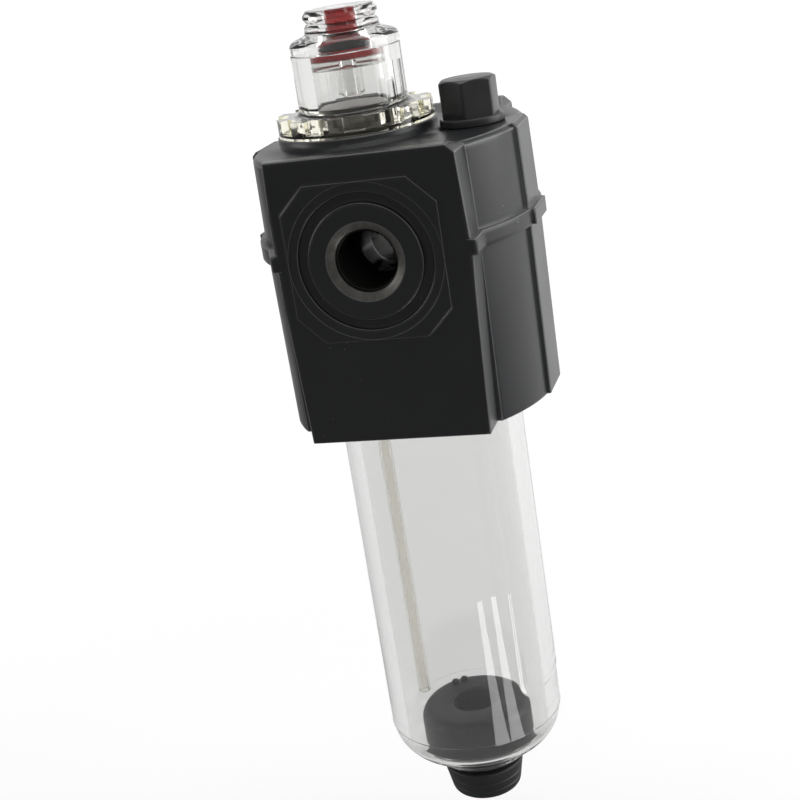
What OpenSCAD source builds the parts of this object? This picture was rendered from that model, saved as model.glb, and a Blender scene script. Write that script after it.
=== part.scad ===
// Miniature in-line air line lubricator, in millimetres.
// The origin is the centre of the inlet port's mouth. +Y runs through the body to the outlet, +Z is up,
// and the fill plug stands on the +X side of the sight dome.

/* [Body casting] */
// Length from the inlet face to the outlet face
port_to_port = 40; // [38:0.5:60]
// Half width of the casting beside each port
flank_half_w = 14.4; // [13:0.1:17]
// Half width of the casting across its two round lobes
lobe_half_w = 19.2; // [18:0.1:26]
// Length of each flank, from a port face to the lobe
flank_len = 5.1; // [3:0.1:8]
// How far the flank away from the fill plug closes in at the port faces
flank_splay = 1.8; // [0:0.1:3]
// Height of the casting between the port blocks, above the port axis
body_top = 13.5; // [13:0.1:24]
// How far the port blocks rise above that
port_rise = 0.7; // [0:0.1:3]
// Length of a port block's flat top
port_flat = 2.4; // [1:0.1:2.8]
// Depth of the skirt's edge below the port axis
body_drop = 25.1; // [24:0.1:40]
// Draft of the port blocks between the parting line and the top
upper_draft = 0.5; // [0:0.05:1.2]
// Draft of the port blocks between the parting line and the skirt's edge
lower_draft = 0.9; // [0:0.05:1.2]
// Draft of the lobes above and below the parting line
lobe_draft = 0.2; // [0:0.05:0.8]
// Radius of the upright corners
corner_r = 0.7; // [0.2:0.1:2]
// Width of the slope along the top edges of the port blocks
top_slope = 1.1; // [0.4:0.1:2]
// Width of the slope round the top edge of the lobes
lobe_slope = 0.6; // [0.2:0.1:1.2]
// Height of the parting ridge
ridge_h = 2.2; // [1:0.1:4]
// How far the parting ridge stands out
ridge_proud = 0.8; // [0.2:0.1:1.5]
// Width of the flat upright pad on each lobe
pad_w = 8.4; // [5:0.1:12]
// How far that pad stands past the lobe
pad_proud = 0.15; // [0.05:0.05:0.6]
// Wall of the cored skirt
skirt_wall = 2.4; // [1.5:0.1:3.5]
// Wall round the bowl socket
socket_wall = 2; // [1.2:0.1:3]

/* [Ports] */
// Radius of the tapped wall of each port
port_r = 4.3; // [3.8:0.05:6]
// Depth of each tapped port
port_depth = 10; // [7:0.1:12]
// Width of the bevel at a port's mouth
mouth_bevel = 1.1; // [0.5:0.1:1.8]
// Depth of that bevel
mouth_bevel_depth = 0.6; // [0.3:0.1:1.5]
// Radius of the air passage between the ports
gallery_r = 3.6; // [2.8:0.05:3.75]
// Radius of the plain face round a port's mouth
port_land_r = 7.9; // [7.2:0.05:8.6]
// Width of the ring groove round that face
port_groove_w = 1.45; // [0.6:0.05:1.7]
// Depth of that groove
port_groove_depth = 0.8; // [0.3:0.05:1.5]
// Half size of the raised octagon on a port face
octagon_half = 10.75; // [10.4:0.05:12.5]
// Corner cut of the octagon
octagon_cut = 3.63; // [2:0.05:6]
// How far the octagon stands out
octagon_proud = 0.3; // [0.1:0.05:0.8]
// How far the outer ring of the port face is sunk
spotface_depth = 0.12; // [0.05:0.01:0.3]
// Width left between that ring and the octagon's flats
spotface_land = 0.15; // [0.05:0.05:0.5]

/* [Bowl] */
// Outer radius of the bowl
bowl_r = 13.3; // [12.5:0.1:15]
// Wall of the bowl
bowl_wall = 2.2; // [1.6:0.1:3]
// Length of bowl inside the body
bowl_engage = 10.5; // [8:0.1:14]
// Depth of the bowl's inner floor below the skirt's edge
bowl_reach = 56.5; // [35:0.5:90]
// Radius of the bend between the wall and the base
bowl_bend_r = 6; // [5.5:0.1:8]
// Radius of the boss under the bowl
bowl_boss_r = 7.2; // [6.8:0.1:8.5]
// Thickness of the base at its boss
bowl_base_t = 3.8; // [3.5:0.1:7]
// Height of that boss
bowl_boss_h = 1.9; // [0.4:0.1:2]
// How far the bowl is stepped in above its base
bowl_step = 0.15; // [0.05:0.05:0.4]
// Height of that step above the bowl's inner floor
bowl_step_h = 4.1; // [4:0.1:8]
// Half angle of the raised label pad
label_half_angle = 42; // [20:1:70]
// How far the label pad stands out
label_proud = 0.3; // [0.1:0.05:0.6]
// Clear height under the label pad, above the bowl's inner floor
label_foot = 9.9; // [8.5:0.1:15]
// Clear height between the label pad and the skirt
label_head = 1.2; // [0.5:0.1:6]

/* [Drain] */
// Radius of the drain's head inside the bowl
drain_head_r = 8.6; // [6:0.1:8.6]
// Height of that head
drain_head_h = 5.6; // [5.2:0.1:14]
// Rounding of the head's top edge
drain_head_round = 1.6; // [0.5:0.1:2.5]
// Radius of the recess in the head
drain_recess_r = 3.5; // [2:0.1:4]
// Depth of that recess
drain_recess_depth = 4; // [2:0.1:5]
// Radius of the stem through the bowl
drain_stem_r = 4.8; // [4.2:0.1:5.4]
// Radius of the push button at its shoulder
drain_button_r = 6.3; // [6:0.1:7.5]
// Radius of the push button at its foot
drain_foot_r = 5.3; // [4.5:0.1:6]
// Height of the push button
drain_button_h = 5; // [3:0.1:8]
// Free travel of the drain
drain_travel = 1.2; // [0.6:0.1:2]

/* [Siphon] */
// Outer radius of the siphon tube
siphon_r = 1; // [0.8:0.05:1.3]
// Bore radius of the siphon tube
siphon_bore_r = 0.6; // [0.4:0.05:0.7]
// Distance of the siphon from the bowl's inner wall
siphon_inset = 2.9; // [2.7:0.1:3.2]
// Height of the tube's open end above the drain's head
siphon_clear = 1.6; // [1:0.1:10]
// Radius of the siphon fitting
fitting_r = 2; // [1.9:0.05:2.1]
// Length of the fitting inside the body
fitting_grip = 8; // [6.5:0.1:8.5]
// Length of the fitting's collar below the body
fitting_collar = 3.5; // [2:0.1:6]
// Radius of the check ball
check_ball_r = 0.9; // [0.7:0.05:1]
// Lift of each check ball
check_lift = 0.8; // [0.4:0.1:1.2]
// Radius of the hole under each check ball
check_seat_r = 0.5; // [0.3:0.05:0.55]

/* [Sight dome] */
// Distance of the dome's axis from the port axis
dome_offset = 4.35; // [3:0.05:6]
// Height of the low boss that the dome stands on
dome_boss_h = 1.5; // [0.4:0.1:3]
// Outer radius of the castellated flange
flange_r = 11.1; // [10.6:0.1:13]
// Height of that flange
flange_h = 2.6; // [2:0.1:5]
// Number of notches in the flange
notch_count = 12; // [6:1:18]
// Width of a notch
notch_w = 2.9; // [1:0.1:3.2]
// Radial depth of a notch
notch_depth = 1.7; // [0.6:0.1:2]
// Height of the rim left under the notches
notch_floor = 0.7; // [0.5:0.1:1.6]
// Outer radius of the dome
dome_r = 7.75; // [7.4:0.05:8.6]
// Radius of the chamber inside the dome
chamber_r = 5.45; // [5.2:0.05:5.8]
// Height of the dome's shoulder above its flange
dome_h = 9.8; // [9:0.1:14]
// Radius of the ridged neck
neck_r = 5.25; // [4.6:0.05:6]
// Height of the ridged neck above the shoulder
neck_h = 4.1; // [3:0.1:7]
// Depth of the valley between the neck's ridges
neck_valley = 0.45; // [0.2:0.05:0.8]
// Radius of the dome's screwed spigot
spigot_r = 8.2; // [7.6:0.1:8.4]
// Length of that spigot
spigot_len = 5; // [3:0.1:5.5]
// Height of the drip floor above the flange's foot
drip_floor_h = 3.1; // [1.5:0.1:4]

/* [Drip adjuster] */
// Radius of the adjuster's stem
stem_r = 2.2; // [1.6:0.05:2.4]
// Thickness of the metering disc
disc_t = 0.85; // [0.6:0.05:1.4]
// Thickness of the drip nozzle's plate
nozzle_plate_t = 1.3; // [0.8:0.1:2]
// Outer radius of the drip tube
drip_tube_r = 1.85; // [1.4:0.05:2.4]
// Length of the drip tube below its plate
drip_tube_len = 4; // [2:0.1:4.2]
// Bore radius of the drip tube
drip_bore_r = 0.8; // [0.4:0.05:1]
// Height of the seal pocket above the metering disc
seal_pocket_h = 1.7; // [1.6:0.1:2.2]
// Depth of the stem's top below the neck's mouth
stem_sink = 0.4; // [0.1:0.1:1.5]

/* [Fill plug] */
// Size across the plug's flats
plug_flats = 7.3; // [6:0.1:7.7]
// Height of the hexagon
plug_hex_h = 5.2; // [2.5:0.1:7]
// Radius of the plug's round flange
plug_flange_r = 4.5; // [4.3:0.05:5.2]
// Thickness of that flange
plug_flange_t = 1.1; // [0.8:0.1:2.5]
// Radius of the plug's thread
plug_thread_r = 3; // [2.6:0.05:3.2]
// Length of the plug's thread
plug_thread_len = 7; // [5:0.1:9]
// Clear distance between the plug's flange and the dome's flange
plug_gap = 0.9; // [0.5:0.05:1.5]

/* [Flow parts] */
// Radius of the flow insert's pocket
pocket_r = 5.6; // [5:0.05:5.7]
// Material of the insert above and below the air passage
insert_wall = 2.4; // [1.6:0.1:2.8]
// Length of the fog nozzle's head below the socket's roof
nozzle_head = 1.8; // [1:0.1:3]
// Radius of the fog nozzle's tip
nozzle_tip_r = 2.4; // [1.6:0.1:3]
// Length of the fog nozzle's tip
nozzle_tip_len = 3; // [1:0.1:5]
// Bore radius of the fog nozzle
nozzle_bore_r = 0.8; // [0.4:0.05:1.2]
// Half width of the flow sensor's flap
flap_half_w = 1.6; // [1:0.05:1.7]
// Thickness of the flap
flap_t = 0.6; // [0.4:0.05:0.8]
// Radius of the bead that holds the flap
flap_bead_r = 0.5; // [0.4:0.05:0.6]
// Radius of the pressurising valve's ball
valve_ball_r = 1; // [0.8:0.05:1.1]
// Length of the pressurising valve's seat bush
valve_seat_len = 3; // [2:0.1:4]

/* [Seals and clearances] */
// Section of the bowl, dome and stem O-rings
seal_section = 1.5; // [1.3:0.05:1.55]
// Section of the fill plug's O-ring
plug_seal_section = 1; // [0.8:0.05:1.1]
// Gap between seated faces and round a seal
seat_gap = 0.03; // [0.01:0.01:0.05]
// Radial clearance of a turning or sliding fit
running_gap = 0.08; // [0.05:0.01:0.1]
// Radial clearance of a screwed fit
thread_gap = 0.15; // [0.1:0.01:0.2]

/* [Hidden] */
$fn = 96;
eps = 0.01;
past = 2; // how far a cut runs past the face it opens

mid_y = port_to_port / 2;
parting_z = 0.6;
port_top = body_top + port_rise;
splay_angle = atan(flank_splay / flank_len);
face_half = mid_y - octagon_proud;
lobe_chord = face_half - flank_len;
lobe_sag = lobe_half_w - flank_half_w;
lobe_r = (lobe_chord * lobe_chord + lobe_sag * lobe_sag) / (2 * lobe_sag);

bowl_top = bowl_engage - body_drop;
roof_z = bowl_top + seat_gap;
bowl_in_r = bowl_r - bowl_wall;
socket_r = bowl_r + thread_gap;
lip_r = socket_r - seal_section - 2 * seat_gap;
lip_h = seal_section + seat_gap;
bowl_floor = -body_drop - bowl_reach;
bowl_foot = bowl_floor - bowl_base_t;
bowl_low_r = bowl_r - bowl_step;
bend_angle = acos((bowl_boss_r - bowl_low_r + bowl_bend_r) / bowl_bend_r);
bend_z = bowl_foot + bowl_boss_h + bowl_bend_r * sin(bend_angle);
bowl_inner_round = 2.4;

drain_hole_r = drain_stem_r + 2 * running_gap;
drain_top = bowl_floor + seat_gap + drain_head_h;
button_top = bowl_foot - drain_travel - seat_gap;
drain_foot = button_top - drain_button_h;
drain_foot_round = 1.5;
drain_foot_bevel = 0.5;

siphon_x = -(bowl_in_r - siphon_inset);
siphon_foot = drain_top + siphon_clear;
siphon_grip = 5;
fitting_top = roof_z + fitting_grip;
check_cage_gap = 0.25;
check_cage_r = check_ball_r + check_cage_gap;
check_rise = sqrt(check_ball_r * check_ball_r - check_seat_r * check_seat_r) + seat_gap;
check_seat_z = fitting_top - check_rise - check_ball_r - check_lift - seat_gap;
oil_way_r = 0.55;

drilling_wall = 1.5; // metal between the insert's pocket and the ways drilled beside it
valve_y = -(pocket_r + valve_ball_r + drilling_wall);
valve_cage_gap = 0.3;
valve_cage_r = valve_ball_r + valve_cage_gap;
valve_rise = sqrt(valve_ball_r * valve_ball_r - check_seat_r * check_seat_r) + seat_gap;
valve_seat_z = roof_z + valve_seat_len;
valve_roof = valve_seat_z + valve_rise + valve_ball_r + check_lift + seat_gap;
fog_return_r = 1.2;
fog_return_y = pocket_r + fog_return_r + drilling_wall;

dome_x = -dome_offset;
flange_foot = body_top + dome_boss_h;
flange_top = flange_foot + flange_h;
dome_boss_lip = 0.2;
dome_boss_r = flange_r + dome_boss_lip;
shoulder_z = flange_top + dome_h;
shoulder_r = 1.2;
base_fillet = 1;
mouth_slope = 0.5;
neck_top = shoulder_z + neck_h;
neck_collar = 1.4;
neck_foot = shoulder_z + neck_collar;
neck_ridges = 1.7;
ridge_pitch = (neck_top - neck_foot) / neck_ridges;
dome_crown = 1.75;
chamber_roof = shoulder_z - dome_crown;
seal_roof = chamber_roof + seal_pocket_h;
stem_hole_r = stem_r + running_gap;
seal_pocket_r = stem_r + seal_section + 3 * seat_gap;
disc_r = chamber_r - running_gap;
metering_inset = 1.6;
metering_r = disc_r - metering_inset;
disc_z = chamber_roof - disc_t - seat_gap;
plate_z = disc_z - nozzle_plate_t - seat_gap;
drip_boss_gap = 0.25;
drip_boss_r = chamber_r - drip_boss_gap;
drip_floor_z = flange_foot + drip_floor_h;
drip_hole_r = 0.9;
spigot_foot = flange_foot - spigot_len;
spigot_clear = 0.6;
socket_floor = spigot_foot - spigot_clear;
seal_land = 0.3;
dome_seal_r = spigot_r + thread_gap + seal_land + seal_section / 2;
riser_r = 0.45;
riser_at = (chamber_r + dome_r) / 2;

plug_x = dome_x + flange_r + plug_gap + plug_flange_r;
plug_hole_r = plug_thread_r + thread_gap;
plug_seal_r = plug_thread_r + seat_gap + plug_seal_section / 2;
plug_recess_r = plug_thread_r + plug_seal_section + 3 * seat_gap;
fill_room = 4; // free height under the plug's thread
fill_turn_z = body_top - plug_thread_len - fill_room;
fill_way_r = 2.1;
fill_way_x = (pocket_r + bowl_in_r) / 2;

insert_top = gallery_r + insert_wall;
insert_foot = -insert_top;
bead_sink = 0.15;
flap_z = gallery_r - bead_sink;
flap_clear = 0.7;
flap_len = flap_z + gallery_r - flap_clear;

black = "#1c1c1d";
clear = [0.86, 0.88, 0.88, 0.45];
dark_rubber = "#262627";

// Points of an arc about c, from angle a to angle b
function arc(c, r, a, b, steps = 10) =
    [for (i = [0:steps]) c + r * [cos(a + (b - a) * i / steps), sin(a + (b - a) * i / steps)]];

// A round hole from point p to point q
module way(p, q, r) {
    d = q - p;
    translate(p)
        rotate([0, acos(d.z / norm(d)), atan2(d.y, d.x)])
            cylinder(h = norm(d), r = r);
}

// Moves its children to the bowl's axis, the dome's axis and the plug's axis
module at_bowl() translate([0, mid_y, 0]) children();
module at_dome() translate([dome_x, mid_y, 0]) children();
module at_plug() translate([plug_x, mid_y, 0]) children();
module at_siphon() translate([siphon_x, mid_y, 0]) children();
module at_valve() translate([0, mid_y + valve_y, 0]) children();

// A cylinder between two heights
module post(r, low, high) translate([0, 0, low]) cylinder(h = high - low, r = r);

// An O-ring whose section is centred at radius r and height z
module o_ring(r, section, z)
    translate([0, 0, z]) rotate_extrude() translate([r, 0]) circle(d = section, $fn = 32);

// Plan of the two port blocks about the casting's middle, with round corners, grown by grow across the ports
// and by grow_y along them
module block_plan(grow = 0, grow_y = 0) {
    wide = flank_half_w + grow;
    inner = wide - flank_splay;
    face = face_half + grow_y;
    polygon(concat(
        arc([wide - corner_r, face - corner_r], corner_r, 0, 90, 4),
        arc([-inner + corner_r, face - corner_r], corner_r, 90, 160, 4),
        [[-wide, lobe_chord], [-wide, -lobe_chord]],
        arc([-inner + corner_r, corner_r - face], corner_r, 200, 270, 4),
        arc([wide - corner_r, corner_r - face], corner_r, 270, 360, 4)
    ));
}

// Plan of the whole casting: the port blocks, a lobe on each side and the flat pad on each lobe
module casting_plan(grow = 0, grow_y = 0) {
    block_plan(grow, grow_y);
    for (side = [0, 1])
        mirror([side, 0])
            intersection() {
                translate([lobe_half_w - lobe_r, 0]) circle(r = lobe_r + grow);
                translate([0, -lobe_chord - grow]) square([2 * lobe_half_w, 2 * (lobe_chord + grow)]);
            }
    square([2 * (lobe_half_w + pad_proud + grow), pad_w], center = true);
}

// A block run along the ports for length: half width w at the parting line, drafted above and below it, with
// a slope along its top edges
module drafted_block(w, length, top, drafts, slope) {
    shoulder = [w - drafts[0], top - slope];
    foot = w - drafts[1];
    flat = shoulder.x - slope;
    translate([0, mid_y + length / 2, 0])
        rotate([90, 0, 0])
            linear_extrude(height = length)
                polygon([
                    [-foot, -body_drop], [foot, -body_drop], [w, parting_z], shoulder, [flat, top],
                    [-flat, top], [-shoulder.x, shoulder.y], [-w, parting_z]
                ]);
}

// Side view of the port blocks, with the casting's lower middle between them
module side_view() {
    end = port_to_port;
    translate([-lobe_half_w, 0, 0])
        rotate([90, 0, 90])
            linear_extrude(height = 2 * lobe_half_w)
                polygon([
                    [0, -body_drop], [end, -body_drop], [end, port_top], [end - port_flat, port_top],
                    [end - flank_len, body_top], [flank_len, body_top], [port_flat, port_top], [0, port_top]
                ]);
}

// What the draft takes off the splayed flank of one port block, above and below the parting line
module splayed_flank() {
    size = [past, 2 * flank_len, port_top + body_drop];
    upper_angle = atan(upper_draft / (port_top - parting_z));
    lower_angle = atan(lower_draft / (body_drop + parting_z));
    translate([flank_splay - flank_half_w, octagon_proud, parting_z])
        rotate([0, 0, splay_angle]) {
            rotate([0, upper_angle, 0]) translate([-size.x, -flank_len, 0]) cube(size);
            rotate([0, -lower_angle, 0]) translate([-size.x, -flank_len, -size.z]) cube(size);
        }
}

// The two round lobes
module lobes() {
    at_bowl()
        for (side = [0, 1])
            mirror([side, 0, 0])
                intersection() {
                    translate([lobe_half_w - lobe_r, 0, 0])
                        rotate_extrude($fn = 180)
                            polygon([
                                [0, -body_drop], [lobe_r - lobe_draft, -body_drop], [lobe_r, parting_z],
                                [lobe_r - lobe_draft, body_top - lobe_slope],
                                [lobe_r - lobe_draft - lobe_slope, body_top], [0, body_top]
                            ]);
                    translate([0, -lobe_chord, -body_drop - past])
                        cube([lobe_half_w + past, 2 * lobe_chord, body_top + body_drop + 2 * past]);
                }
}

// Raised octagon round a port, flush with the mouth
module port_octagon() {
    half = octagon_half;
    low = octagon_half - octagon_cut;
    rotate([-90, 0, 0])
        linear_extrude(height = octagon_proud + past)
            polygon([
                [half, -low], [half, low], [low, half], [-low, half],
                [-half, low], [-half, -low], [-low, -half], [low, -half]
            ]);
}

// Cuts of one port: tapped wall, bevelled mouth, ring groove and sunk outer ring
module port_cuts() {
    groove_r = port_land_r + port_groove_w;
    ring_r = octagon_half - spotface_land;
    rotate([-90, 0, 0]) {
        cylinder(h = port_depth, r = port_r);
        translate([0, 0, -eps])
            cylinder(h = mouth_bevel_depth + eps, r1 = port_r + mouth_bevel, r2 = port_r);
        translate([0, 0, -past])
            difference() {
                cylinder(h = past + port_groove_depth, r = groove_r);
                translate([0, 0, -eps]) cylinder(h = past + port_groove_depth + 1, r = port_land_r);
            }
        translate([0, 0, -past])
            difference() {
                cylinder(h = past + spotface_depth, r = ring_r);
                translate([0, 0, -eps]) cylinder(h = past + spotface_depth + 1, r = groove_r - eps);
            }
    }
}

// The second port faces the other way
module at_ports() {
    children();
    translate([0, port_to_port, 0]) mirror([0, 1, 0]) children();
}

module casting_solid() {
    difference() {
        intersection() {
            drafted_block(flank_half_w, port_to_port, port_top, [upper_draft, lower_draft], top_slope);
            translate([0, mid_y, -body_drop]) linear_extrude(height = port_top + body_drop) block_plan();
            side_view();
        }
        at_ports() splayed_flank();
    }
    lobes();
    drafted_block(lobe_half_w + pad_proud, pad_w, body_top, [lobe_draft, lobe_draft], lobe_slope);
    translate([0, mid_y, parting_z - ridge_h / 2]) linear_extrude(height = ridge_h) casting_plan(ridge_proud);
    at_ports() port_octagon();
    at_dome() post(dome_boss_r, body_top - past, flange_foot);
}

// Openings below: bowl socket, cored skirt, insert pocket and the drilled ways in the socket's roof
module underside_cuts() {
    at_bowl() {
        post(socket_r, -body_drop - past, roof_z);
        post(pocket_r, roof_z - past, insert_top + seat_gap);
        translate([0, fog_return_y, 0]) post(fog_return_r, roof_z - past, 0);
    }
    translate([0, mid_y, -body_drop - past])
        linear_extrude(height = bowl_engage + past)
            difference() {
                casting_plan(-skirt_wall - lower_draft, -skirt_wall);
                circle(r = socket_r + socket_wall);
            }
    at_siphon() post(fitting_r + seat_gap, roof_z - past, fitting_top);
    at_valve() {
        post(valve_cage_r + seat_gap, roof_z - past, valve_roof);
        post(check_seat_r, valve_roof - past, 0);
    }
}

// Openings above: dome socket round the drip floor, seal groove, fill hole and the drilled ways to the bowl
module top_cuts() {
    seal_half = seal_section / 2 + seat_gap;
    oil_x = dome_x - (drip_boss_r + spigot_r) / 2;
    at_dome() {
        difference() {
            post(spigot_r + thread_gap, socket_floor, flange_foot + past);
            post(drip_boss_r, socket_floor - past, flange_foot + 2 * past);
        }
        difference() {
            post(dome_seal_r + seal_half, flange_foot - 2 * seal_half, flange_foot + past);
            post(dome_seal_r - seal_half, flange_foot - 2 * past, flange_foot + 2 * past);
        }
    }
    way([siphon_x, mid_y, fitting_top - eps], [oil_x, mid_y, socket_floor + oil_way_r / 2], oil_way_r);
    at_plug() {
        post(plug_hole_r, fill_turn_z, body_top + past);
        post(plug_recess_r, body_top - plug_seal_section - 2 * seat_gap, body_top + past);
    }
    way([plug_x, mid_y, fill_turn_z + fill_way_r], [fill_way_x, mid_y, roof_z - past], fill_way_r);
}

// Round boss inside the dome, whose dished top is the floor that the oil drips on
module drip_floor() {
    dish_depth = 0.6;
    at_dome()
        difference() {
            post(drip_boss_r, socket_floor - eps, drip_floor_z);
            translate([0, 0, drip_floor_z - dish_depth + eps])
                cylinder(h = dish_depth, r1 = drip_hole_r, r2 = drip_boss_r - dish_depth);
        }
}

module body() {
    color(black)
        difference() {
            union() {
                difference() {
                    casting_solid();
                    top_cuts();
                }
                drip_floor();
            }
            at_ports() port_cuts();
            rotate([-90, 0, 0]) cylinder(h = port_to_port, r = gallery_r);
            underside_cuts();
            at_dome() post(drip_hole_r, insert_top - past, drip_floor_z + past);
        }
}

module bowl() {
    corner = [bowl_in_r - bowl_inner_round, bowl_floor + bowl_inner_round];
    label_root = 0.2;
    profile = concat(
        [[bowl_in_r, bowl_top], [lip_r, bowl_top], [lip_r, bowl_top - lip_h], [bowl_r, bowl_top - lip_h]],
        [[bowl_r, bowl_floor + bowl_step_h], [bowl_low_r, bowl_floor + bowl_step_h]],
        arc([bowl_low_r - bowl_bend_r, bend_z], bowl_bend_r, 0, -bend_angle, 14),
        [[bowl_boss_r, bowl_foot], [drain_hole_r, bowl_foot], [drain_hole_r, bowl_floor]],
        arc(corner, bowl_inner_round, -90, 0, 6)
    );
    color(clear)
        at_bowl() {
            rotate_extrude() polygon(profile);
            rotate([0, 0, -label_half_angle])
                rotate_extrude(angle = 2 * label_half_angle)
                    translate([bowl_r - label_root, bowl_floor + label_foot])
                        square([label_root + label_proud, bowl_reach - label_foot - label_head]);
        }
}

module bowl_seal() {
    color(dark_rubber)
        at_bowl() o_ring(lip_r + seat_gap + seal_section / 2, seal_section, bowl_top - seal_section / 2);
}

module drain_plug() {
    head_low = bowl_floor + seat_gap;
    head_round = [drain_head_r - drain_head_round, drain_top - drain_head_round];
    foot_round = [drain_foot_r - drain_foot_round, drain_foot + drain_foot_round];
    nub_r = 0.6;
    nub_root = 0.5;
    nub_h = 0.7;
    nub_at = drain_head_r - drain_head_round - nub_r;
    profile = concat(
        [[0, drain_foot]],
        arc(foot_round, drain_foot_round, -90, 0, 6),
        [[drain_button_r, button_top], [drain_stem_r, button_top], [drain_stem_r, head_low]],
        [[drain_head_r - drain_foot_bevel, head_low], [drain_head_r, head_low + drain_foot_bevel]],
        arc(head_round, drain_head_round, 0, 90, 6),
        [[drain_recess_r, drain_top], [drain_recess_r, drain_top - drain_recess_depth]],
        [[0, drain_top - drain_recess_depth]]
    );
    color(dark_rubber)
        at_bowl() {
            rotate_extrude() polygon(profile);
            for (a = [118, 132])
                rotate([0, 0, a])
                    translate([nub_at, 0, 0]) post(nub_r, drain_top - nub_root, drain_top + nub_h);
        }
}

module siphon_tube() {
    tube_top = roof_z - fitting_collar + siphon_grip;
    color([0.8, 0.78, 0.7])
        at_siphon()
            difference() {
                post(siphon_r, siphon_foot, tube_top);
                post(siphon_bore_r, siphon_foot - past, tube_top + past);
            }
}

module siphon_fitting() {
    low = roof_z - fitting_collar;
    grip_roof = low + siphon_grip + seat_gap;
    color("#d8d6cf")
        at_siphon()
            difference() {
                post(fitting_r, low, fitting_top);
                post(siphon_r + seat_gap, low - past, grip_roof);
                post(check_seat_r, low, fitting_top);
                post(check_cage_r, check_seat_z, fitting_top + past);
            }
}

module siphon_check_ball() {
    color("silver") at_siphon() translate([0, 0, check_seat_z + check_rise]) sphere(r = check_ball_r);
}

// Outer profile of the dome above its flange, from the flange to the neck's mouth
function dome_outside() = concat(
    arc([dome_r + base_fillet, flange_top + base_fillet], base_fillet, -90, -180, 5),
    arc([dome_r - shoulder_r, shoulder_z - shoulder_r], shoulder_r, 0, 60, 5),
    [for (i = [0:1]) each [
        [neck_r, neck_foot + i * ridge_pitch], [neck_r, neck_foot + (i + 0.25) * ridge_pitch],
        [neck_r - neck_valley, neck_foot + (i + 0.6) * ridge_pitch]
    ]],
    [[neck_r - neck_valley, neck_top], [stem_hole_r + mouth_slope, neck_top]]
);

module sight_dome() {
    profile = concat(
        [[chamber_r, spigot_foot], [spigot_r, spigot_foot], [spigot_r, flange_foot + seat_gap]],
        [[flange_r, flange_foot + seat_gap], [flange_r, flange_top]],
        dome_outside(),
        [[stem_hole_r, neck_top - mouth_slope], [stem_hole_r, seal_roof], [seal_pocket_r, seal_roof]],
        [[seal_pocket_r, chamber_roof], [chamber_r, chamber_roof]]
    );
    color(clear)
        at_dome()
            difference() {
                rotate_extrude() polygon(profile);
                for (i = [0:notch_count - 1])
                    rotate([0, 0, (i + 0.5) * 360 / notch_count])
                        translate([flange_r - notch_depth, -notch_w / 2, flange_foot + notch_floor])
                            cube([notch_depth + past, notch_w, flange_h]);
                translate([riser_at, 0, 0]) post(riser_r, spigot_foot - past, plate_z);
            }
}

module dome_seal() {
    color(dark_rubber) at_dome() o_ring(dome_seal_r, seal_section, flange_foot - seal_section / 2 - seat_gap);
}

module adjusting_screw() {
    slot_w = 0.7;
    slot_depth = 0.9;
    metering_turn = 300;
    groove_r = 0.3;
    stem_top = neck_top - stem_sink;
    color("#a3302f")
        at_dome()
            difference() {
                union() {
                    post(disc_r, disc_z, disc_z + disc_t);
                    post(stem_r, disc_z, stem_top);
                }
                translate([-stem_r - past, -slot_w / 2, stem_top - slot_depth])
                    cube([2 * (stem_r + past), slot_w, slot_depth + past]);
                rotate_extrude(angle = metering_turn)
                    translate([metering_r, disc_z]) circle(r = groove_r, $fn = 16);
            }
}

module adjuster_seal() {
    seal_half = seal_section / 2 + seat_gap;
    color(dark_rubber)
        at_dome()
            o_ring(stem_r + seal_half, seal_section, seal_roof - seal_half);
}

module drip_nozzle() {
    plate_r = chamber_r - seat_gap;
    feed_r = 0.4;
    color(clear)
        at_dome()
            difference() {
                union() {
                    post(plate_r, plate_z, plate_z + nozzle_plate_t);
                    post(drip_tube_r, plate_z - drip_tube_len, plate_z + eps);
                }
                post(drip_bore_r, plate_z - drip_tube_len - past, plate_z + nozzle_plate_t + past);
                translate([metering_r, 0, 0]) post(feed_r, plate_z - past, plate_z + nozzle_plate_t + past);
            }
}

module fill_plug() {
    flange_low = body_top + seat_gap;
    hex_low = flange_low + plug_flange_t;
    color(black)
        at_plug() {
            post(plug_thread_r, body_top - plug_thread_len, flange_low + eps);
            post(plug_flange_r, flange_low, hex_low);
            translate([0, 0, hex_low - eps])
                rotate([0, 0, 30]) cylinder(h = plug_hex_h + eps, d = plug_flats / cos(30), $fn = 6);
        }
}

module fill_plug_seal() {
    color(dark_rubber)
        at_plug() o_ring(plug_seal_r, plug_seal_section, body_top - plug_seal_section / 2 - seat_gap);
}

// The insert fills the pocket across the air passage. An oil slot in its top leads the drips into it.
module flow_insert() {
    insert_r = pocket_r - seat_gap;
    slot_w = 1.8;
    slot_depth = 1;
    oil_hole_r = 0.7;
    oil_side = 1;
    oil_x = -(flap_half_w + oil_side);
    bead_half = flap_half_w + running_gap;
    color("#e4e2da")
        difference() {
            at_bowl() post(insert_r, insert_foot, insert_top);
            rotate([-90, 0, 0]) cylinder(h = port_to_port, r = gallery_r);
            at_bowl() {
                translate([dome_x - drip_hole_r, -slot_w / 2, insert_top - slot_depth])
                    cube([dome_offset + drip_hole_r + oil_x + slot_w / 2, slot_w, slot_depth + past]);
                translate([oil_x, 0, 0]) post(oil_hole_r, 0, insert_top + past);
                post(nozzle_bore_r, insert_foot - past, 0);
                translate([-bead_half, 0, flap_z])
                    rotate([0, 90, 0]) cylinder(h = 2 * bead_half, r = flap_bead_r + running_gap);
            }
        }
}

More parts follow.
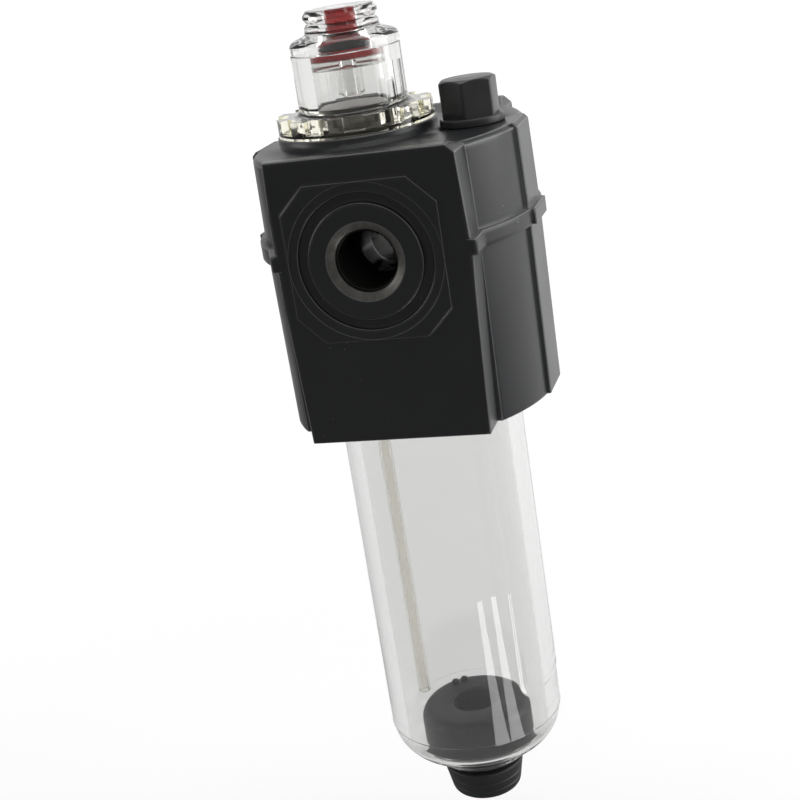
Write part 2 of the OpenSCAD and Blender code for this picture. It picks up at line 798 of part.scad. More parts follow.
module flow_sensor() {
    color("#5a4a3c")
        at_bowl() {
            translate([-flap_half_w, 0, flap_z])
                rotate([0, 90, 0]) cylinder(h = 2 * flap_half_w, r = flap_bead_r);
            translate([-flap_half_w, -flap_t / 2, flap_z - flap_len])
                cube([2 * flap_half_w, flap_t, flap_len]);
        }
}

module fog_nozzle() {
    head_low = roof_z - nozzle_head;
    slot_w = 1.4;
    slot_len = 1.5;
    slot_depth = 1.1;
    slot_at = (nozzle_tip_r + pocket_r) / 2;
    color("#c9a84c")
        at_bowl()
            difference() {
                union() {
                    post(pocket_r - running_gap, head_low, insert_foot - seat_gap);
                    post(nozzle_tip_r, head_low - nozzle_tip_len, head_low + eps);
                }
                post(nozzle_bore_r, head_low - nozzle_tip_len - past, insert_foot + past);
                for (side = [-1, 1])
                    translate([side * slot_at - slot_len / 2, -slot_w / 2, head_low - past])
                        cube([slot_len, slot_w, slot_depth + past]);
            }
}

module bowl_check_seat() {
    color("#d8d6cf")
        at_valve()
            difference() {
                post(valve_cage_r, roof_z, valve_seat_z);
                post(check_seat_r, roof_z - past, valve_seat_z + past);
            }
}

module bowl_check_ball() {
    color("silver") at_valve() translate([0, 0, valve_seat_z + valve_rise]) sphere(r = valve_ball_r);
}

body();
bowl();
bowl_seal();
drain_plug();
siphon_tube();
siphon_fitting();
siphon_check_ball();
sight_dome();
dome_seal();
adjusting_screw();
adjuster_seal();
drip_nozzle();
fill_plug();
fill_plug_seal();
flow_insert();
flow_sensor();
fog_nozzle();
bowl_check_seat();
bowl_check_ball();
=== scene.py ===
"""Looks of a miniature in-line air line lubricator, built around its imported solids, in metres."""
import math
from collections import Counter

import bmesh
import bpy
from mathutils import Matrix, Vector
from mathutils.bvhtree import BVHTree


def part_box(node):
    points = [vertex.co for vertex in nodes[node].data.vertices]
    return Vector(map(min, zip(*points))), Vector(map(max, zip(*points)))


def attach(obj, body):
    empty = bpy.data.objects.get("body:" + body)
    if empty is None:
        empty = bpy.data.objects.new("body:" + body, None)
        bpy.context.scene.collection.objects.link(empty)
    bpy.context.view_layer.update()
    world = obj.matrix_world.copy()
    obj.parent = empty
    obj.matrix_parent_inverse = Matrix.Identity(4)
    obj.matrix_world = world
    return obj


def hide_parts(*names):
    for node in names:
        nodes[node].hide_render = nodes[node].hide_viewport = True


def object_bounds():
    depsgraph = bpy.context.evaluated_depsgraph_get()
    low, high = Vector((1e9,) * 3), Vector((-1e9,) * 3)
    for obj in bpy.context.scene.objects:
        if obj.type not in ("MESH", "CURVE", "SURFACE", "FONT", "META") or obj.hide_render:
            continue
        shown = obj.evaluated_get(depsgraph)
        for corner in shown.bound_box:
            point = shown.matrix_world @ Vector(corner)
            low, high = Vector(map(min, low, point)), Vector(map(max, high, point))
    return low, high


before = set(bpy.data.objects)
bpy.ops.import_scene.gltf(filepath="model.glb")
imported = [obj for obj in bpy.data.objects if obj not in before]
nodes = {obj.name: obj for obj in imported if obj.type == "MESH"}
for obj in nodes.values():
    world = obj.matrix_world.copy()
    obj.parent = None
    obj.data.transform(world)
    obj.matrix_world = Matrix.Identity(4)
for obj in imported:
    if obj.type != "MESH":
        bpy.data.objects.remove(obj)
cad_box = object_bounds()
mm = 0.001

# Body casting
# A zinc die casting with a satin black coat. Two dies leave the ridge round its waist, and the ports and the
# dome's seat are machined afterwards, so the bevel of each port's mouth shows bare metal.
body_low, body_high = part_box("body")
mid_y = (body_low.y + body_high.y) / 2
port_r = 4.3 * mm
port_bevel = 1.1 * mm
port_depth = 10 * mm
port_face_r = 13.2 * mm
port_face_depth = 1 * mm
dome_x = -4.35 * mm
dome_seat_r = 10.3 * mm
plug_x = 12.15 * mm
plug_seat_r = 4.6 * mm
casting_middle = Vector((0, mid_y, -4 * mm))
edge_round = 0.14 * mm
port_edge_share = 0.5
edge_blend = 0.8 * mm
edge_segments = 2
edge_angle = math.radians(50)
lobe_r = 23.7 * mm
lobe_axis_x = -4.5 * mm
lobe_fit = 1 * mm
lobe_facing = 0.99
lobe_slant = 0.05
drip_boss_r = 5.4 * mm
drip_boss_h = 3.5 * mm
sharp_edge = math.radians(28)
coplanar = math.radians(0.3)
level_normal = 0.999
weld = 0.002 * mm
edge_highlight_face, bare_face, bore_face, drip_floor_light_face = 1, 2, 3, 4


def new_finish(name):
    """A material with its node tree, its shader and the object's own coordinates."""
    made = bpy.data.materials.new(name)
    made.use_nodes = True
    tree = made.node_tree
    shader = tree.nodes["Principled BSDF"]
    place = tree.nodes.new("ShaderNodeTexCoord").outputs["Object"]
    return made, tree, shader, place


def noise(tree, place, grain, detail=3.0):
    """Noise whose grains are about that many metres wide."""
    node = tree.nodes.new("ShaderNodeTexNoise")
    node.inputs["Scale"].default_value = 1 / grain
    node.inputs["Detail"].default_value = detail
    tree.links.new(place, node.inputs["Vector"])
    return node.outputs["Fac"]


def between(tree, factor, low, high, start=0.3, end=0.7):
    """A number that goes from low to high as factor goes from start to end."""
    node = tree.nodes.new("ShaderNodeMapRange")
    node.inputs["From Min"].default_value = start
    node.inputs["From Max"].default_value = end
    node.inputs["To Min"].default_value = low
    node.inputs["To Max"].default_value = high
    tree.links.new(factor, node.inputs["Value"])
    return node.outputs["Result"]


def tinted(tree, factor, low, high):
    """A colour that goes from low to high as factor goes from 0 to 1; either may come from a node."""
    node = tree.nodes.new("ShaderNodeMix")
    node.data_type = "RGBA"
    tree.links.new(factor, node.inputs["Factor"])
    colour_a, colour_b, result = node.inputs[6], node.inputs[7], node.outputs[2]
    for socket, colour in ((colour_a, low), (colour_b, high)):
        if isinstance(colour, bpy.types.NodeSocket):
            tree.links.new(colour, socket)
        else:
            socket.default_value = (*colour, 1)
    return result


def roughened(tree, shader, height, depth, strength=1.0, soft_edge=0.0):
    """Bump of that depth under the shader, on edges that look rounded to that radius."""
    node = tree.nodes.new("ShaderNodeBump")
    node.inputs["Distance"].default_value = depth
    node.inputs["Strength"].default_value = strength
    tree.links.new(height, node.inputs["Height"])
    tree.links.new(node.outputs["Normal"], shader.inputs["Normal"])
    if soft_edge:
        rounded = tree.nodes.new("ShaderNodeBevel")
        rounded.samples = 8
        rounded.inputs["Radius"].default_value = soft_edge
        tree.links.new(rounded.outputs["Normal"], node.inputs["Normal"])


def add_piece(name, mesh, finishes, smooth=math.radians(35)):
    """An object at the origin from a bmesh, shaded smooth up to that angle."""
    data = bpy.data.meshes.new(name)
    mesh.to_mesh(data)
    mesh.free()
    data.shade_smooth()
    data.set_sharp_from_angle(angle=smooth)
    for one in finishes:
        data.materials.append(one)
    made = bpy.data.objects.new(name, data)
    bpy.context.scene.collection.objects.link(made)
    return made


def applied(piece):
    """Turns what the piece's modifiers give into its plain mesh."""
    seen = piece.evaluated_get(bpy.context.evaluated_depsgraph_get())
    data = bpy.data.meshes.new_from_object(seen)
    piece.modifiers.clear()
    piece.data = data


def edge_rounding(piece, width, limit):
    """A modifier that rounds the piece's edges to that width, picked by their weight or their angle."""
    made = piece.modifiers.new("edges", "BEVEL")
    made.width = width
    made.segments = edge_segments
    made.limit_method = limit
    made.angle_limit = edge_angle
    return made


def flattened(piece):
    """Shades the piece by its larger faces, so that flats and walls look flat up to their rounded edges."""
    piece.modifiers.new("flats", "WEIGHTED_NORMAL").keep_sharp = True
    applied(piece)


def fitted(piece, body, slot, *replaced):
    """Lets the piece ride on a body and hides the named solids that it stands in for. The slot is not used.
    """
    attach(piece, body)
    if replaced:
        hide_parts(*replaced)


def black_coat():
    """Satin black coat with a fine orange peel and a few specks of dust."""
    made, tree, shader, place = new_finish("black_coat")
    cloud = noise(tree, place, 14 * mm)
    peel = noise(tree, place, 0.35 * mm, 2.0)
    specks = tree.nodes.new("ShaderNodeTexVoronoi")
    specks.inputs["Scale"].default_value = 1 / (1.5 * mm)
    tree.links.new(place, specks.inputs["Vector"])
    patchy = noise(tree, place, 8 * mm, 1.0)
    reach = between(tree, patchy, 0.0, 0.09, 0.45, 0.7)
    dusty = tree.nodes.new("ShaderNodeMath")
    dusty.operation = "LESS_THAN"
    tree.links.new(specks.outputs["Distance"], dusty.inputs[0])
    tree.links.new(reach, dusty.inputs[1])
    coat = tinted(tree, cloud, (0.011, 0.012, 0.0135), (0.017, 0.018, 0.02))
    colour = tinted(tree, dusty.outputs["Value"], coat, (0.16, 0.16, 0.165))
    tree.links.new(colour, shader.inputs["Base Color"])
    tree.links.new(between(tree, cloud, 0.3, 0.38), shader.inputs["Roughness"])
    shader.inputs["Specular IOR Level"].default_value = 0.5
    roughened(tree, shader, peel, 0.01 * mm, 0.5, edge_blend)
    return made


def edge_highlight_coat():
    """The coat on the edges, painted paler as a highlight where the rounded edges catch the light."""
    made, tree, shader, place = new_finish("edge_highlight_coat")
    edge_mottle = noise(tree, place, 2.5 * mm)
    tree.links.new(tinted(tree, edge_mottle, (0.08, 0.08, 0.082), (0.2, 0.2, 0.205)), shader.inputs["Base Color"])
    tree.links.new(between(tree, edge_mottle, 0.3, 0.42), shader.inputs["Roughness"])
    shader.inputs["Specular IOR Level"].default_value = 0.4
    roughened(tree, shader, edge_mottle, 0.01 * mm, 0.5, edge_blend)
    return made


def bare_zinc():
    """Bare zinc with fine turning marks round the port axis."""
    made, tree, shader, place = new_finish("bare_zinc")
    ring = tree.nodes.new("ShaderNodeTexWave")
    ring.wave_type = "RINGS"
    ring.rings_direction = "Y"
    ring.inputs["Scale"].default_value = 1 / (0.5 * mm)
    ring.inputs["Distortion"].default_value = 0.4
    tree.links.new(place, ring.inputs["Vector"])
    tone_noise = noise(tree, place, 1.2 * mm)
    tree.links.new(tinted(tree, tone_noise, (0.07, 0.068, 0.06), (0.2, 0.195, 0.18)), shader.inputs["Base Color"])
    tree.links.new(between(tree, tone_noise, 0.3, 0.46), shader.inputs["Roughness"])
    shader.inputs["Metallic"].default_value = 0.8
    roughened(tree, shader, ring.outputs["Fac"], 0.01 * mm, 0.5)
    return made


def drip_floor_painted_light():
    """Zinc that was faced off inside the dome and stays bright under clean oil."""
    # The drip floor under the dome, painted pale: painted light for how light it looks through the clear
    # nozzle plate.
    made, tree, shader, place = new_finish("drip_floor_painted_light")
    tone_noise = noise(tree, place, 1.5 * mm)
    tree.links.new(tinted(tree, tone_noise, (0.7, 0.7, 0.68), (0.84, 0.84, 0.82)), shader.inputs["Base Color"])
    tree.links.new(between(tree, tone_noise, 0.28, 0.4), shader.inputs["Roughness"])
    shader.inputs["Metallic"].default_value = 0.3
    return made


def bore_shade_finish():
    """The tapped wall of a port, painted near black as the shade deep inside the bore."""
    made, tree, shader, place = new_finish("bore_shade_finish")
    tone_noise = noise(tree, place, 1.5 * mm)
    painted_shade_colour = tinted(tree, tone_noise, (0.006, 0.006, 0.005), (0.02, 0.019, 0.016))
    tree.links.new(painted_shade_colour, shader.inputs["Base Color"])
    tree.links.new(between(tree, tone_noise, 0.25, 0.4), shader.inputs["Roughness"])
    shader.inputs["Specular IOR Level"].default_value = 0.2
    return made


def faces_out(face):
    """True where a face of the casting looks away from the casting's middle."""
    return face.normal.dot(face.calc_center_median() - casting_middle) > 0


def is_level(face):
    """True on the level faces of the casting, whose long outlines are safer left in triangles."""
    return abs(face.normal.z) > level_normal


def edge_share(edge):
    """Share of the full rounding that an edge of the casting gets."""
    if len(edge.link_faces) != 2 or not edge.is_convex or edge.calc_face_angle() < sharp_edge:
        return 0
    middle = (edge.verts[0].co + edge.verts[1].co) / 2
    from_face = min(middle.y - body_low.y, body_high.y - middle.y)
    if from_face < port_face_depth and math.hypot(middle.x, middle.z) < port_face_r:
        return port_edge_share
    in_seat = (
        math.hypot(middle.x - dome_x, middle.y - mid_y) < dome_seat_r
        or math.hypot(middle.x - plug_x, middle.y - mid_y) < plug_seat_r)
    if in_seat or not all(faces_out(face) for face in edge.link_faces):
        return 0
    return 1


def lobe_rounded(piece):
    """Shades the round lobes, and the ridge on them, as the true cylinders that their facets stand for."""
    normals = [corner.vector.copy() for corner in piece.data.corner_normals]
    sides_on_lobe = Counter()
    for face in piece.data.polygons:
        axis = Vector((math.copysign(lobe_axis_x, -face.center.x), mid_y, 0))
        outward = (face.center - axis) * Vector((1, 1, 0))
        near_lobe = abs(outward.length - lobe_r) < lobe_fit and abs(face.normal.y) > lobe_slant
        if near_lobe and face.normal.dot(outward.normalized()) > lobe_facing:
            sides_on_lobe.update(face.edge_keys)
            for corner in face.loop_indices:
                place = piece.data.vertices[piece.data.loops[corner].vertex_index].co
                normals[corner] = ((place - axis) * Vector((1, 1, 0))).normalized()
    for edge in piece.data.edges:
        edge.use_edge_sharp = edge.use_edge_sharp or sides_on_lobe[edge.key] == 1
    piece.data.attributes.remove(piece.data.attributes["custom_normal"])
    shading = piece.data.attributes.new("custom_normal", "FLOAT_VECTOR", "CORNER")
    shading.data.foreach_set("vector", [part for normal in normals for part in normal])


coat = black_coat()
# Painted shade: the port bores and their threads are coloured near black for the shade inside them.
bore = bore_shade_finish()
casting = bmesh.new()
casting.from_mesh(nodes["body"].data)
bmesh.ops.remove_doubles(casting, verts=casting.verts, dist=weld)
casting.normal_update()
casting_surface = BVHTree.FromBMesh(casting)
joined_edges = [edge for edge in casting.edges if not all(is_level(face) for face in edge.link_faces)]
joined_corners = [spot for spot in casting.verts if not any(is_level(face) for face in spot.link_faces)]
bmesh.ops.dissolve_limit(casting, angle_limit=coplanar, verts=joined_corners, edges=joined_edges)
rounding = casting.edges.layers.float.new("bevel_weight_edge")
for edge in casting.edges:
    edge[rounding] = edge_share(edge)
for face in casting.faces:
    middle = face.calc_center_median()
    from_face = min(middle.y - body_low.y, body_high.y - middle.y)
    off_port = max(math.hypot(corner.co.x, corner.co.z) for corner in face.verts)
    off_dome = max(math.hypot(corner.co.x - dome_x, corner.co.y - mid_y) for corner in face.verts)
    if from_face < port_depth and off_port < port_r + port_bevel + weld:
        face.material_index = bare_face if off_port > port_r + weld else bore_face
    # Painted light: the drip floor inside the dome gets a pale colour, though the casting there is black.
    elif off_dome < drip_boss_r and middle.z > body_high.z - drip_boss_h:
        face.material_index = drip_floor_light_face
body = add_piece("body_casting", casting, [coat, edge_highlight_coat(), bare_zinc(), bore, drip_floor_painted_light()])
bevel = edge_rounding(body, edge_round, "WEIGHT")
bevel.use_clamp_overlap = False
# The bevel faces take the paler edge coat, a painted highlight along the casting's edges.
bevel.material = edge_highlight_face
applied(body)
for corner in body.data.vertices:
    surface, outward, _, distance = casting_surface.find_nearest(corner.co)
    if distance > weld and (corner.co - surface).dot(outward) > 0:
        corner.co = surface
flattened(body)
lobe_rounded(body)
fitted(body, "housing", "casting_black", "body")

# Port threads
# Taper pipe threads that take the supply line and the line to the tool. They are tapped into the casting
# after it was coated, and take the bore's near-black colour, which is painted shade.
port_pitch = 0.94 * mm
port_turns = 8.5
port_tooth = 0.4 * mm
thread_start = 1 * mm
thread_resolution = 64


def thread_tree():
    """Nodes that wind a thread of one ridge from its sizes, its place and its finish."""
    tree = bpy.data.node_groups.new("thread", "GeometryNodeTree")
    sockets = {}
    for name, kind in (
            ("Radius", "NodeSocketFloat"), ("Pitch", "NodeSocketFloat"), ("Turns", "NodeSocketFloat"),
            ("Tooth", "NodeSocketFloat"), ("Lean", "NodeSocketRotation"), ("Start", "NodeSocketVector"),
            ("Finish", "NodeSocketMaterial")):
        sockets[name] = tree.interface.new_socket(name, in_out="INPUT", socket_type=kind).identifier
    tree.interface.new_socket("Thread", in_out="OUTPUT", socket_type="NodeSocketGeometry")
    given = tree.nodes.new("NodeGroupInput").outputs
    rise = tree.nodes.new("ShaderNodeMath")
    rise.operation = "MULTIPLY"
    tree.links.new(given["Pitch"], rise.inputs[0])
    tree.links.new(given["Turns"], rise.inputs[1])
    helix = tree.nodes.new("GeometryNodeCurveSpiral")
    helix.inputs["Resolution"].default_value = thread_resolution
    tree.links.new(given["Turns"], helix.inputs["Rotations"])
    tree.links.new(given["Radius"], helix.inputs["Start Radius"])
    tree.links.new(given["Radius"], helix.inputs["End Radius"])
    tree.links.new(rise.outputs["Value"], helix.inputs["Height"])
    upright = tree.nodes.new("GeometryNodeSetCurveNormal")
    upright.mode = "Z_UP"
    tree.links.new(helix.outputs["Curve"], upright.inputs["Curve"])
    tooth = tree.nodes.new("GeometryNodeCurvePrimitiveCircle")
    tooth.inputs["Resolution"].default_value = 4
    tree.links.new(given["Tooth"], tooth.inputs["Radius"])
    swept = tree.nodes.new("GeometryNodeCurveToMesh")
    swept.inputs["Fill Caps"].default_value = True
    tree.links.new(upright.outputs["Curve"], swept.inputs["Curve"])
    tree.links.new(tooth.outputs["Curve"], swept.inputs["Profile Curve"])
    set_down = tree.nodes.new("GeometryNodeTransform")
    tree.links.new(swept.outputs["Mesh"], set_down.inputs["Geometry"])
    tree.links.new(given["Start"], set_down.inputs["Translation"])
    tree.links.new(given["Lean"], set_down.inputs["Rotation"])
    real = tree.nodes.new("GeometryNodeRealizeInstances")
    tree.links.new(set_down.outputs["Geometry"], real.inputs["Geometry"])
    finished = tree.nodes.new("GeometryNodeSetMaterial")
    tree.links.new(real.outputs["Geometry"], finished.inputs["Geometry"])
    tree.links.new(given["Finish"], finished.inputs["Material"])
    tree.links.new(finished.outputs["Geometry"], tree.nodes.new("NodeGroupOutput").inputs[0])
    return tree, sockets


thread_nodes, thread_inputs = thread_tree()


def add_thread(name, radius, pitch, turns, tooth, lean, start, finish):
    """A thread wound by the node tree, as a plain mesh."""
    made = bpy.data.objects.new(name, bpy.data.meshes.new(name))
    bpy.context.scene.collection.objects.link(made)
    winding = made.modifiers.new("thread", "NODES")
    winding.node_group = thread_nodes
    values = {
        "Radius": radius, "Pitch": pitch, "Turns": turns, "Tooth": tooth, "Lean": lean, "Start": start,
        "Finish": finish}
    for key, value in values.items():
        winding[thread_inputs[key]] = value
    applied(made)
    return made


for name, start_y, lean in (
        ("inlet_thread", body_low.y + thread_start, -math.pi / 2),
        ("outlet_thread", body_high.y - thread_start, math.pi / 2)):
    thread = add_thread(
        name, port_r, port_pitch, port_turns, port_tooth, (lean, 0, 0), (0, start_y, 0), bore)
    fitted(thread, "housing", "casting_black")

# Flow parts
# Inside the casting: an acetal insert across the air passage with a rubber flap in it, a brass fog nozzle
# screwed in from below, and the two small non-return valves with their acetal seats and steel balls.


def acetal():
    """Off-white acetal with a faint mottle."""
    made, tree, shader, place = new_finish("acetal")
    mottle = noise(tree, place, 3 * mm)
    tree.links.new(tinted(tree, mottle, (0.56, 0.55, 0.51), (0.66, 0.65, 0.61)), shader.inputs["Base Color"])
    tree.links.new(between(tree, mottle, 0.38, 0.5), shader.inputs["Roughness"])
    shader.inputs["Subsurface Weight"].default_value = 0.15
    shader.inputs["Subsurface Scale"].default_value = 0.4 * mm
    return made


def turned_brass():
    """Brass with the rings that a lathe leaves round the bowl's axis."""
    made, tree, shader, place = new_finish("turned_brass")
    ring = tree.nodes.new("ShaderNodeTexWave")
    ring.bands_direction = "Z"
    ring.inputs["Scale"].default_value = 1 / (0.4 * mm)
    tree.links.new(place, ring.inputs["Vector"])
    tone_noise = noise(tree, place, 2 * mm)
    tree.links.new(tinted(tree, tone_noise, (0.46, 0.31, 0.1), (0.62, 0.44, 0.17)), shader.inputs["Base Color"])
    tree.links.new(between(tree, tone_noise, 0.24, 0.38), shader.inputs["Roughness"])
    shader.inputs["Metallic"].default_value = 1
    roughened(tree, shader, ring.outputs["Fac"], 0.008 * mm, 0.4)
    return made


def rubber(name, low, high, gloss=0.15):
    """Moulded rubber with a fine grain."""
    made, tree, shader, place = new_finish(name)
    bloom = noise(tree, place, 2 * mm)
    grain = noise(tree, place, 0.4 * mm, 2.0)
    tree.links.new(tinted(tree, bloom, low, high), shader.inputs["Base Color"])
    tree.links.new(between(tree, bloom, 0.42, 0.55), shader.inputs["Roughness"])
    shader.inputs["Specular IOR Level"].default_value = gloss
    roughened(tree, shader, grain, 0.002 * mm, 0.3)
    return made


def ball_steel():
    """Ground steel with a very light haze."""
    made, tree, shader, place = new_finish("ball_steel")
    haze = noise(tree, place, 0.5 * mm)
    tree.links.new(between(tree, haze, 0.1, 0.18), shader.inputs["Roughness"])
    tree.links.new(tinted(tree, haze, (0.56, 0.57, 0.58), (0.64, 0.65, 0.66)), shader.inputs["Base Color"])
    shader.inputs["Metallic"].default_value = 1
    return made


white_acetal = acetal()
steel = ball_steel()
for name, finish in (
        ("flow_insert", white_acetal), ("siphon_fitting", white_acetal), ("bowl_check_seat", white_acetal),
        ("fog_nozzle", turned_brass()),
        ("flow_sensor", rubber("flap_rubber", (0.09, 0.06, 0.045), (0.13, 0.09, 0.07))),
        ("siphon_check_ball", steel), ("bowl_check_ball", steel)):
    nodes[name].material_slots[0].material = finish

# O-rings
# Moulded rings of black nitrile, pressed into their grooves: under the bowl's lip, under the dome's flange,
# round the adjuster's stem and under the fill plug.
ring_turns = 96
ring_section_steps = 20


def turned(outline, centre, turns):
    """A closed shape turned about the upright through centre, from (radius, height) points."""
    made = bmesh.new()
    rings = []
    ways = [(math.cos(math.tau * i / turns), math.sin(math.tau * i / turns)) for i in range(turns)]
    for r, z in outline:
        rings.append([
            made.verts.new((centre[0] + r * x, centre[1] + r * y, z))
            for x, y in (ways if r > weld else ways[:1])])
    for low, high in zip(rings, rings[1:] + rings[:1]):
        if len(low) == 1 and len(high) == 1:
            continue
        for i in range(turns):
            low_pair = [low[i % len(low)], low[(i + 1) % len(low)]]
            high_pair = [high[(i + 1) % len(high)], high[i % len(high)]]
            made.faces.new(dict.fromkeys(low_pair + high_pair))
    bmesh.ops.recalc_face_normals(made, faces=made.faces)
    return made


nitrile = rubber("nitrile", (0.008, 0.008, 0.008), (0.014, 0.014, 0.014))
for node, ring_body in (
        ("bowl_seal", "bowl_ring"), ("dome_seal", "housing"), ("adjuster_seal", "housing"),
        ("fill_plug_seal", "plug_ring")):
    low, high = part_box(node)
    half_section = (high.z - low.z) / 2
    ring_r = (high.x - low.x) / 2 - half_section
    outline = [
        (ring_r + half_section * math.cos(math.tau * i / ring_section_steps),
         (low.z + high.z) / 2 + half_section * math.sin(math.tau * i / ring_section_steps))
        for i in range(ring_section_steps)]
    ring = add_piece(
        node + "_ring", turned(outline, ((low.x + high.x) / 2, (low.y + high.y) / 2), ring_turns), [nitrile])
    fitted(ring, ring_body, "seal_rubber", node)

# Siphon tube
# A length of extruded nylon tube that the oil comes up in. It is pressed into its fitting and hangs in the
# bowl, and its foot is cut square.
siphon_low, siphon_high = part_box("siphon_tube")
siphon_bore_r = 0.6 * mm
siphon_edge = 0.08 * mm
siphon_columns = 48


def filleted(corners, steps=5):
    """Points of an outline of (radius, height, rounding) corners, with an arc at each rounded one."""
    points = []
    for index, (r, z, corner_r) in enumerate(corners):
        here = Vector((r, z))
        if corner_r == 0:
            points.append(here)
            continue
        before = (Vector(corners[index - 1][:2]) - here).normalized()
        after = (Vector(corners[(index + 1) % len(corners)][:2]) - here).normalized()
        half = before.angle(after) / 2
        middle = here + (before + after).normalized() * corner_r / math.sin(half)
        start = here + before * corner_r / math.tan(half) - middle
        end = here + after * corner_r / math.tan(half) - middle
        points += [middle + start.slerp(end, step / steps) * corner_r for step in range(steps + 1)]
    return points


def nylon():
    """Natural nylon: milky, slightly yellow and half see-through."""
    made, tree, shader, place = new_finish("nylon")
    streak = noise(tree, place, 1.5 * mm)
    tree.links.new(tinted(tree, streak, (0.94, 0.92, 0.87), (0.98, 0.97, 0.93)), shader.inputs["Base Color"])
    tree.links.new(between(tree, streak, 0.12, 0.2), shader.inputs["Roughness"])
    shader.inputs["Transmission Weight"].default_value = 0.95
    shader.inputs["IOR"].default_value = 1.25
    return made


siphon_r = (siphon_high.x - siphon_low.x) / 2
siphon_x = (siphon_low.x + siphon_high.x) / 2
siphon_outline = filleted([
    (siphon_r, siphon_low.z, siphon_edge), (siphon_r, siphon_high.z, siphon_edge),
    (siphon_bore_r, siphon_high.z, siphon_edge), (siphon_bore_r, siphon_low.z, siphon_edge)])
siphon = add_piece("siphon_tube_nylon", turned(siphon_outline, (siphon_x, mid_y), siphon_columns), [nylon()])
fitted(siphon, "housing", "siphon_nylon", "siphon_tube")

# Bowl
# Injection-moulded clear polycarbonate, screwed into the skirt by the thread round its neck. A raised pad,
# left bare, stands on the side of the fill plug, and the wall steps in above a round base with a boss for
# the drain.
bowl_low, bowl_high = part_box("bowl")
bowl_r = (bowl_high.y - bowl_low.y) / 2
bowl_in_r = bowl_r - 2.2 * mm
lip_r = 11.89 * mm
lip_h = 1.53 * mm
lip_round = 0.3 * mm
lip_root = 0.2 * mm
neck_round = 0.35 * mm
bowl_floor = bowl_low.z + 3.8 * mm
step_z = bowl_floor + 4.1 * mm
step_in = 0.15 * mm
step_h = 0.15 * mm
step_round = 0.1 * mm
bend_r = 6 * mm
bend_steps = 18
boss_r = 7.2 * mm
boss_h = 1.9 * mm
boss_round = 0.5 * mm
drain_hole_r = 4.96 * mm
hole_round = 0.3 * mm
floor_round = 2.4 * mm
neck_thread_top = bowl_high.z - 2.2 * mm
neck_thread_foot = body_low.z + 0.8 * mm
neck_pitch = 1.5 * mm
neck_thread_depth = 0.45 * mm
neck_flank = 2.4
pad_half_angle = math.radians(42)
pad_proud = 0.15 * mm
pad_foot = bowl_floor + 9.9 * mm
pad_head = body_low.z - 1.2 * mm
pad_corner = 2.4 * mm
pad_edge = 0.5 * mm
fine_row = 0.2 * mm
plain_row = 3 * mm
fine_column = math.radians(1)
plain_column = math.radians(2)


def steps_between(start, end, size):
    """Evenly spaced values from start up to, but not including, end."""
    count = max(1, round(abs(end - start) / size))
    return [start + (end - start) * i / count for i in range(count)]


def pad_height(angle, z):
    """How far the bowl stands out at that place of its outer wall, for the raised pad."""
    angle = math.remainder(angle, math.tau)
    across = abs(angle) * bowl_r - (pad_half_angle * bowl_r - pad_corner)
    along = abs(z - (pad_head + pad_foot) / 2) - ((pad_head - pad_foot) / 2 - pad_corner)
    outside = math.hypot(max(across, 0), max(along, 0)) + min(max(across, along), 0) - pad_corner
    share = min(max(-outside / pad_edge, 0), 1)
    return pad_proud * share * share * (3 - 2 * share)


def thread_cut(angle, z):
    """Depth of the neck's thread at that place, running out at both ends."""
    ends = min((neck_thread_top - z) / neck_pitch, (z - neck_thread_foot) / neck_pitch, 1)
    if ends <= 0:
        return 0
    phase = (z / neck_pitch - angle / math.tau) % 1
    return neck_thread_depth * ends * min(1, neck_flank * (1 - abs(2 * phase - 1)))


def clear_plastic(name, tint, ring_tint, ring_z, ring_fade, haze):
    """Clear moulded plastic with faint flow marks, tinted and as hazy as that below ring_z."""
    made, tree, shader, place = new_finish(name)
    flow = noise(tree, place, 5 * mm, 1.0)
    split = tree.nodes.new("ShaderNodeSeparateXYZ")
    tree.links.new(place, split.inputs["Vector"])
    lower = between(tree, split.outputs["Z"], 1, 0, ring_z - ring_fade, ring_z + ring_fade)
    tree.links.new(tinted(tree, lower, tint, ring_tint), shader.inputs["Base Color"])
    tree.links.new(between(tree, lower, 0.02, haze, 0.0, 1.0), shader.inputs["Roughness"])
    shader.inputs["Transmission Weight"].default_value = 1
    shader.inputs["IOR"].default_value = 1.52
    roughened(tree, shader, flow, 0.02 * mm, 0.25)
    return made


pad_end = pad_half_angle + fine_column
pad_start = pad_half_angle - pad_corner / bowl_r - fine_column
bowl_columns = (
    steps_between(-pad_start, pad_start, plain_column) + steps_between(pad_start, pad_end, fine_column)
    + steps_between(pad_end, math.tau - pad_end, plain_column)
    + steps_between(math.tau - pad_end, math.tau - pad_start, fine_column))
wall_top = bowl_high.z - lip_h
wall_rows = (
    steps_between(neck_thread_top, neck_thread_foot, fine_row)
    + steps_between(neck_thread_foot, pad_head - pad_corner - fine_row, fine_row)
    + steps_between(pad_head - pad_corner - fine_row, pad_foot + pad_corner + fine_row, plain_row)
    + steps_between(pad_foot + pad_corner + fine_row, pad_foot - 2 * fine_row, fine_row))
low_r = bowl_r - step_in
bend_angle = math.acos((boss_r - low_r + bend_r) / bend_r)
bend_z = bowl_low.z + boss_h + bend_r * math.sin(bend_angle)
bend_turns = [bend_angle * i / bend_steps for i in range(bend_steps + 1)]
bend = [
    (low_r - bend_r + bend_r * math.cos(angle), bend_z - bend_r * math.sin(angle), 0) for angle in bend_turns]
